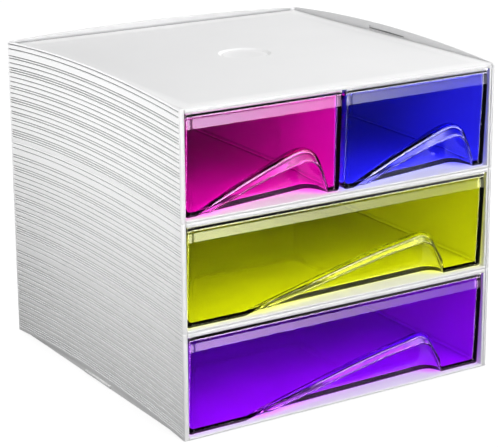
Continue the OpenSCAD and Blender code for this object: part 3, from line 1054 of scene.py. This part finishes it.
def outer_skin(x, width, ridge, lip, back_deep):
    """Section points (y, z) of the outer skin at each x, an array of shape (len(x), points, 2)."""
    edge = np.minimum(x, width - x)
    face_in = edge_round(edge, CORNER_R)
    grip = grip_at(x, ridge, lip, back_deep)
    front = [brow_and_panel(x, grip), hood_and_lip(x, grip), outer_scoop(x, grip)]
    y, z = (np.concatenate(tables, 1) for tables in zip(*front))
    back_y = DRAWER_LEN - face_in
    y_rest, z_rest = floor_and_back(y[:, -1], back_y, 0, FRONT_H - RIM_R, OUTER_FLOOR_SHARE)
    frame_y = FRAME_UP * (1 - ease((edge - FRAME_W) / FRAME_STEP))
    y = y + (face_in - frame_y)[:, None] * np.clip(1 - (y - FRONT_Y) / FADE_Y, 0, 1)
    y = np.concatenate([y, y_rest], 1)
    z = np.concatenate([z, z_rest], 1)
    z = z + edge_round(edge, BELLY_R)[:, None] * np.clip(1 - z / BELLY_FADE, 0, 1)
    z = z - edge_round(edge, TOP_CORNER_R)[:, None] * ease((z - TOP_FROM) / TOP_FADE)
    shade = np.zeros_like(z)
    # painted shade: full along the rim, and a dark line just under the ridge
    shade[:, [0, -1]] = 1.0
    hood_from = front[0][0].shape[1]
    shade[:, hood_from : hood_from + len(HOOD_SHADE)] = grip.grow[:, None] * HOOD_SHADE
    return np.stack([y, z], -1), shade


# %% [markdown]
# The inner skin is simpler: it runs down the inside of the front to the ridge, back over the scoop, down to
# the floor and along it to the back.

# %% Inner skin of a drawer
INNER_BROW_Z = np.array([FRONT_H - RIM_IN_R, 43.5, 42, 40] + CREASE_Z)
INNER_PANEL_SHARE = np.linspace(0.06, 1, 12)
INNER_FALL = np.array([0.003, 0.01, 0.025, 0.045, 0.07, 0.1, 0.145] + FALL[1:])
INNER_FLOOR_SHARE = np.array([0.05, 0.3, 0.6, 1.0])
INNER_RIDGE_R = 0.08
INNER_FOOT_R = 0.8
INNER_GROWTH = 1.5
INNER_FRONT_Y = 5.0


def inner_skin(x, width, ridge, back_deep):
    """Section points (y, z) of the inner skin at each x."""
    edge = np.minimum(x, width - x) - DRAWER_T
    face_in = edge_round(edge, CORNER_R)
    inside = (x > ridge[:, 0].min()) & (x < ridge[:, 0].max())
    ridge_z = np.clip(np.interp(x, ridge[:, 0], ridge[:, 1]), DRAWER_FLOOR, None)
    top_z = np.where(inside, ridge_z, DRAWER_FLOOR)
    tall = ease((top_z - DRAWER_FLOOR) / INNER_GROWTH)
    bend_r = INNER_RIDGE_R * tall
    foot_r = INNER_FOOT_R * tall
    face_y = front_line(top_z) + DRAWER_T
    z_brow = np.repeat(INNER_BROW_Z[None, :], len(x), 0)
    z_panel = along(np.full(len(x), CREASE_Z[-1]), top_z + bend_r, INNER_PANEL_SHARE)
    z_front = np.concatenate([z_brow, z_panel], 1)
    y_front = front_line(z_front) + DRAWER_T
    y_bend = face_y[:, None] + bend_r[:, None] * (1 - np.cos(REAR_TURN))
    z_bend = (top_z + bend_r)[:, None] - bend_r[:, None] * np.sin(REAR_TURN)
    start_y = (face_y + bend_r)[:, None]
    deep = (back_deep[0] + back_deep[1] * x + DRAWER_T)[:, None]
    z_scoop = along(top_z, DRAWER_FLOOR + foot_r, INNER_FALL)
    y_scoop = scoop_depth(x, z_scoop, ridge, start_y, deep, SCOOP_R + DRAWER_T)
    y_scoop = np.where(tall[:, None] > 0, y_scoop, start_y)
    y_foot = y_scoop[:, -1:] + foot_r[:, None] * (1 - np.cos(REAR_TURN))
    z_foot = DRAWER_FLOOR + foot_r[:, None] * (1 - np.sin(REAR_TURN))
    back_y = DRAWER_LEN - DRAWER_T - face_in
    rim_z = FRONT_H - RIM_IN_R
    y_rest, z_rest = floor_and_back(y_foot[:, -1], back_y, DRAWER_FLOOR, rim_z, INNER_FLOOR_SHARE)
    y = np.concatenate([y_front, y_bend, y_scoop, y_foot], 1)
    y = y + face_in[:, None] * np.clip(1 - (y - INNER_FRONT_Y) / FADE_Y, 0, 1)
    y = np.concatenate([y, y_rest], 1)
    z = np.concatenate([z_front, z_bend, z_scoop, z_foot, z_rest], 1)
    z = z + edge_round(edge, BELLY_R)[:, None] * np.clip(1 - (z - DRAWER_FLOOR) / BELLY_FADE, 0, 1)
    return np.stack([y, z], -1)


# %% [markdown]
# The two skins are joined by the rounded rim, a few rings that run all the way round the top edge. The
# rim's outer face leans out a little before it turns inward over the top.

# %% Stations across a drawer, and the rings of its rim
EDGE_STATIONS = np.array([0, 0.03, 0.12, 0.3, 0.55, 0.8, 1.1, 1.5, 2.0, 2.4, 2.8, 2.9, 3.05, 3.2, 3.3])
RIM_SET_IN = np.array([0.01, -0.02, -0.11, -0.09, -0.02, 0.8, 1.35, 1.54])
RIM_DOWN = np.array([1.70, 1.58, 0.12, 0.03, 0.0, 0.28, 0.5, 0.64])


def stations_across(width, ridge):
    """Places across the front: close together at its ends and over the steep leg of the wave."""
    crest = float(ridge[np.argmax(ridge[:, 1]), 0])
    foot = float(ridge[-1, 0])
    long_leg = np.arange(4.0, crest - 9, 1.6)
    steep_leg = np.arange(crest - 8, min(foot + 0.4, width - 3.6), 0.22)
    rest = np.arange(steep_leg[-1] + 0.6, width - 4.0, 1.2)
    return np.concatenate([EDGE_STATIONS, long_leg, steep_leg, rest, width - EDGE_STATIONS[::-1]])


def rim_rows(outer_row, inner_row, x, width):
    """Rings between a top row of the outer skin and one of the inner skin, shape (rings, len(x), 3)."""
    share = RIM_SET_IN / DRAWER_T
    shoulder = edge_round(np.minimum(x, width - x), TOP_CORNER_R)[None, :] * (1 - share)[:, None]
    rows = outer_row[None] * (1 - share[:, None, None]) + inner_row[None] * share[:, None, None]
    rows[:, :, 2] = (FRONT_H - RIM_DOWN)[:, None] - shoulder
    return rows


def index_quads(grid):
    """Quads between neighbours of a grid of point indices."""
    return np.stack([grid[:-1, :-1], grid[:-1, 1:], grid[1:, 1:], grid[1:, :-1]], -1).reshape(-1, 4)


# %% [markdown]
# A drawer is then six grids of faces: the two skins, the rim along the front and along the back, and the
# rim over the two sides. The ends of the skins are flat, so each is closed with a single face.


# %% One drawer
def drawer_surface(width, ridge_knots, lip_knots, back_deep):
    """Closed surface of a drawer whose front's lower left corner is the origin."""
    ridge, lip = smooth_curve(ridge_knots), smooth_curve(lip_knots)
    x = stations_across(width, ridge)
    inner_x = DRAWER_T + x * (width - 2 * DRAWER_T) / width
    outer_yz, outer_shade = outer_skin(x, width, ridge, lip, back_deep)
    inner_yz = inner_skin(inner_x, width, ridge, back_deep)
    n, m_out, m_in, k = len(x), outer_yz.shape[1], inner_yz.shape[1], len(RIM_SET_IN)
    outer = np.concatenate([np.repeat(x[:, None, None], m_out, 1), outer_yz], 2)
    inner = np.concatenate([np.repeat(inner_x[:, None, None], m_in, 1), inner_yz], 2)
    front_rows = rim_rows(outer[:, 0], inner[:, 0], x, width)
    back_rows = rim_rows(outer[:, -1], inner[:, -1], x, width)
    points = np.concatenate([p.reshape(-1, 3) for p in (outer, inner, front_rows, back_rows)])
    # the rim's rings get groove number 1: painted shade all along the rim
    shade = np.concatenate([outer_shade.ravel(), np.zeros(n * m_in), np.ones(2 * k * n)])
    o_at = np.arange(n * m_out).reshape(n, m_out)
    i_at = n * m_out + np.arange(n * m_in).reshape(n, m_in)
    f_at = n * (m_out + m_in) + np.arange(k * n).reshape(k, n)
    front_grid = np.concatenate([o_at[None, :, 0], f_at, i_at[None, :, 0]])
    back_grid = np.concatenate([o_at[None, :, -1], f_at + k * n, i_at[None, :, -1]])
    grids = [
        index_quads(o_at)[:, ::-1],
        index_quads(i_at),
        index_quads(front_grid),
        index_quads(back_grid)[:, ::-1],
        index_quads(np.stack([back_grid[:, 0], front_grid[:, 0]], 1)),
        index_quads(np.stack([front_grid[:, -1], back_grid[:, -1]], 1)),
    ]
    ends = [o_at[0], o_at[-1, ::-1], i_at[0, ::-1], i_at[-1]]
    return outward(points, np.concatenate(grids).tolist() + [end.tolist() for end in ends], shade)


# %% [markdown]
# Each drawer takes its width and place from its CAD node. The scoop gets deeper toward the right, so its
# depth is given by a start and by how much is added for every millimetre across.

# %% The four drawers
WIDE_GRIP = (WIDE_RIDGE, WIDE_LIP, (5.7, 0.031))
SMALL_GRIP = (SMALL_RIDGE, SMALL_LIP, (3.1, 0.157))
GRIPS = {"magenta": SMALL_GRIP, "blue": SMALL_GRIP, "lime": WIDE_GRIP, "purple": WIDE_GRIP}
for colour, grip_curves in GRIPS.items():
    node = f"{colour}_drawer"
    low, high = node_box(node)
    surface = drawer_surface(high[0] - low[0], *grip_curves)
    surface = moved(surface, x=low[0], y=-HALF_D, z=low[2])
    drawer = add_piece(f"drawer_{colour}", [surface], drawer_plastic[colour])
    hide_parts(node)
    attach(drawer, colour)

# %% [markdown]
# ## The ground
#
# The tower stands on a sheet of white paper far larger than itself. Paper that is really lit to pure white
# would throw so much light back up that the grooves and edges lost their shade. So the paper glows for the
# camera alone, and only a small part of its white comes from the lamps, just enough to hold the tower's
# shadow. To light that bounces it is nearly dark, and reflections don't show it.

# %% Ground
GROUND_HALF = 6.0
GROUND_Z = -0.0002
GROUND_FOR_LIGHT = 0.08
GROUND_FOR_CAMERA = 0.25
GROUND_GLOW = 0.82
corners = [(x * GROUND_HALF, y * GROUND_HALF, GROUND_Z) for x, y in ((-1, -1), (1, -1), (1, 1), (-1, 1))]
floor_mesh = bpy.data.meshes.new("studio_floor")
floor_mesh.from_pydata(corners, [], [(0, 1, 2, 3)])
studio_floor = bpy.data.objects.new("studio_floor", floor_mesh)
bpy.context.scene.collection.objects.link(studio_floor)
floor_material, floor_shader = new_material("white_paper")
floor_shader.inputs["Roughness"].default_value = 0.95
floor_shader.inputs["Specular IOR Level"].default_value = 0.0
floor_shader.inputs["Emission Color"].default_value = (1, 1, 1, 1)
nodes, links = floor_material.node_tree.nodes, floor_material.node_tree.links
for_camera = nodes.new("ShaderNodeLightPath").outputs["Is Camera Ray"]
tone = nodes.new("ShaderNodeMapRange")
tone.inputs["To Min"].default_value = GROUND_FOR_LIGHT
tone.inputs["To Max"].default_value = GROUND_FOR_CAMERA
links.new(for_camera, tone.inputs["Value"])
links.new(tone.outputs["Result"], floor_shader.inputs["Base Color"])
glow = nodes.new("ShaderNodeMath")
glow.operation = "MULTIPLY"
glow.inputs[1].default_value = GROUND_GLOW
links.new(for_camera, glow.inputs[0])
links.new(glow.outputs["Value"], floor_shader.inputs["Emission Strength"])
floor_mesh.materials.append(floor_material)
studio_floor.visible_glossy = False
print("ground:", 2 * GROUND_HALF, "metres wide")

# %% [markdown]
# ## The world
#
# Clear plastic shows what stands around it, so whoever lights such an object puts white cards where its
# faces mirror them. Here the world itself paints the cards, by direction, and only for rays that a face has
# mirrored or a clear wall has bent. X is the part of a direction that points right, Y the part that points
# away from the front, and Z the part that points up. A card is a list of fades, each from one value to
# another between two places, and the fades are multiplied.


# %% Nodes of the world
world = bpy.data.worlds.new("studio")
bpy.context.scene.world = world
world.use_nodes = True
nodes, links = world.node_tree.nodes, world.node_tree.links
background = next(n for n in nodes if n.type == "BACKGROUND")
background.inputs["Color"].default_value = (1, 1, 1, 1)
split = nodes.new("ShaderNodeSeparateXYZ")
links.new(nodes.new("ShaderNodeTexCoord").outputs["Generated"], split.inputs["Vector"])


def fade(part, start, stop, from_value, to_value):
    """Smooth step between two values, from start to stop of the direction's part X, Y or Z."""
    node = nodes.new("ShaderNodeMapRange")
    node.interpolation_type = "SMOOTHSTEP"
    node.inputs["From Min"].default_value = start
    node.inputs["From Max"].default_value = stop
    node.inputs["To Min"].default_value = from_value
    node.inputs["To Max"].default_value = to_value
    links.new(split.outputs[part], node.inputs["Value"])
    return node.outputs["Result"]


def maths(operation, a, b):
    """Math node of two values, each a number or a socket."""
    node = nodes.new("ShaderNodeMath")
    node.operation = operation
    for socket, value in zip(node.inputs, (a, b)):
        if isinstance(value, (int, float)):
            socket.default_value = value
        else:
            links.new(value, socket)
    return node.outputs["Value"]


def product(first, *others):
    """All the values multiplied."""
    for other in others:
        first = maths("MULTIPLY", first, other)
    return first


def total(first, *others):
    """All the values added."""
    for other in others:
        first = maths("ADD", first, other)
    return first


def card(*fades):
    """Product of fades, each (part, start, stop, from_value, to_value)."""
    return product(*(fade(*row) for row in fades))


# %% Cards that only mirrored and bent rays see
FRONT = ("Y", -0.3, -0.5, 0, 1)
low_card = card(
    ("Z", -0.28, -0.24, 0, 1),  # its lower edge
    ("Z", -0.03, 0.02, 1, 0),  # its upper edge, just under the horizon
    ("Z", -0.26, -0.14, 0.6, 1),  # a little weaker at the foot
    FRONT,
    ("X", 0.44, 0.62, 18, 3),  # very bright in the middle, weaker at the right
    ("X", 0.0, 0.35, 0.1, 1),  # and nearly gone at the left
)
high_card = card(
    ("Z", 0.36, 0.44, 0, 1),  # its lower edge
    ("Z", 0.74, 0.82, 6.5, 1.7),  # a broad bright band that weakens overhead
    FRONT,
    ("X", 0.1, 0.35, 0.15, 1),  # weak at the left
)
strip = card(
    ("Z", -0.08, -0.04, 0, 1),  # a level strip at the horizon
    ("Z", 0.18, 0.22, 1, 0),
)
left_strip = card(
    ("X", 0.1, 0.25, 1, 0),  # below it, an upright strip for lines along the right ends of the fronts
    ("Z", -0.12, -0.04, 1, 0),
    ("Z", -0.56, -0.46, 0, 0.75),
    ("X", -0.15, -0.05, 0, 1),
)
behind = card(
    ("Y", 0.1, 0.3, 0, 1),  # the room behind the tower, brighter at the right
    ("Z", -0.02, 0.05, 0, 1),
    ("X", 0.4, 0.7, 0.4, 1.4),
)
STRIP_LIGHT = 15.0
ROOM_LIGHT = 0.05
strips = product(fade(*FRONT), STRIP_LIGHT)
strips = product(total(strip, left_strip), strips, fade("X", -0.5, -0.3, 0, 1))
mirrored = total(low_card, high_card, total(behind, strips), ROOM_LIGHT)
print("world nodes for the cards:", len(nodes))

# %% [markdown]
# All other rays get a plain sky, soft and weak, brighter overhead and to the right. The clear drawers need
# one thing more. Light that reaches their insides has come in through a clear wall, and it gets through a
# real wall by more ways than the render follows. So rays that have passed a whole clear wall, both of its
# faces, see a brighter opening in front.

# %% Plain sky, and the opening for light that came through a drawer's wall
ONE_WALL = 1.5  # a ray that has passed more see-through faces than this has passed a whole wall
path = nodes.new("ShaderNodeLightPath")
sky = card(
    ("Z", 0.0, 0.8, 0.15, 0.78),
    ("X", -0.6, 0.2, 0.5, 1),
)
opening = card(
    ("Z", 0.0, 0.06, 0, 1),
    FRONT,
    ("Z", 0.12, 0.45, 8.0, 4.3),
)
through = maths("GREATER_THAN", path.outputs["Transparent Depth"], ONE_WALL)
plain = total(sky, product(through, opening))
glossy = path.outputs["Is Glossy Ray"]
strength = total(product(glossy, mirrored), product(maths("SUBTRACT", 1, glossy), plain))
links.new(strength, background.inputs["Strength"])
print("world nodes:", len(nodes))

# %% [markdown]
# ## The lamps
#
# A large soft key lamp stands in front, high up and to the right. It gives the top its white and leaves the
# left side light grey. A narrow lamp at the height of the top edge runs along that side and brightens its
# upper part. A third lamp, low behind the tower on the right, lights its back and its right side. None of
# the lamps shows by itself or in a reflection, because the cards of the world do that.

# %% Lamps
# name: (place, aim, size, power in watts)
LAMPS = {
    "key": ((0.6, -1.3, 1.25), (0, 0, 0.08), 0.7, 19.8),
    "side": ((-0.235, 0, 0.15), (-0.083, 0, 0.14), 0.4, 0.46),
    "back": ((0.75, 0.75, 0.12), (0.03, 0.03, 0.08), 0.6, 5.0),
}
SIDE_LAMP_HEIGHT = 0.05
for name, (place, aim, size, power) in LAMPS.items():
    lamp = bpy.data.lights.new(name, "AREA")
    lamp.size = size
    lamp.energy = power
    holder = bpy.data.objects.new(name, lamp)
    bpy.context.scene.collection.objects.link(holder)
    holder.rotation_euler = (Vector(aim) - Vector(place)).to_track_quat("-Z", "Y").to_euler()
    holder.location = place
    holder.visible_glossy = False
    holder.visible_camera = False
bpy.data.lights["side"].shape = "RECTANGLE"
bpy.data.lights["side"].size_y = SIDE_LAMP_HEIGHT
print("lamps:", list(LAMPS))

# %% [markdown]
# ## The camera
#
# A long lens from the front left, a little above the tower, keeps its upright edges nearly parallel. The
# lens shift moves the picture without turning the camera, so the tower sits in the middle of the frame.

# %% Camera
CAMERA_PLACE = (-0.4529, -0.7343, 0.3297)
CAMERA_DOWN = 16.208  # degrees below level
CAMERA_RIGHT = 32.963  # degrees to the right of straight ahead
CAMERA_LENS = 135.24
CAMERA_SHIFT = (-0.0728, -0.0630)
camera_data = bpy.data.cameras.new("camera")
camera_data.lens = CAMERA_LENS
camera_data.sensor_width = 36
camera_data.shift_x, camera_data.shift_y = CAMERA_SHIFT
camera_data.clip_start = 0.01
camera = bpy.data.objects.new("camera", camera_data)
camera.location = CAMERA_PLACE
camera.rotation_euler = (math.radians(90 - CAMERA_DOWN), 0, math.radians(-CAMERA_RIGHT))
bpy.context.scene.collection.objects.link(camera)
bpy.context.scene.camera = camera
bpy.context.scene.view_settings.view_transform = "Standard"
print("camera at", CAMERA_PLACE)
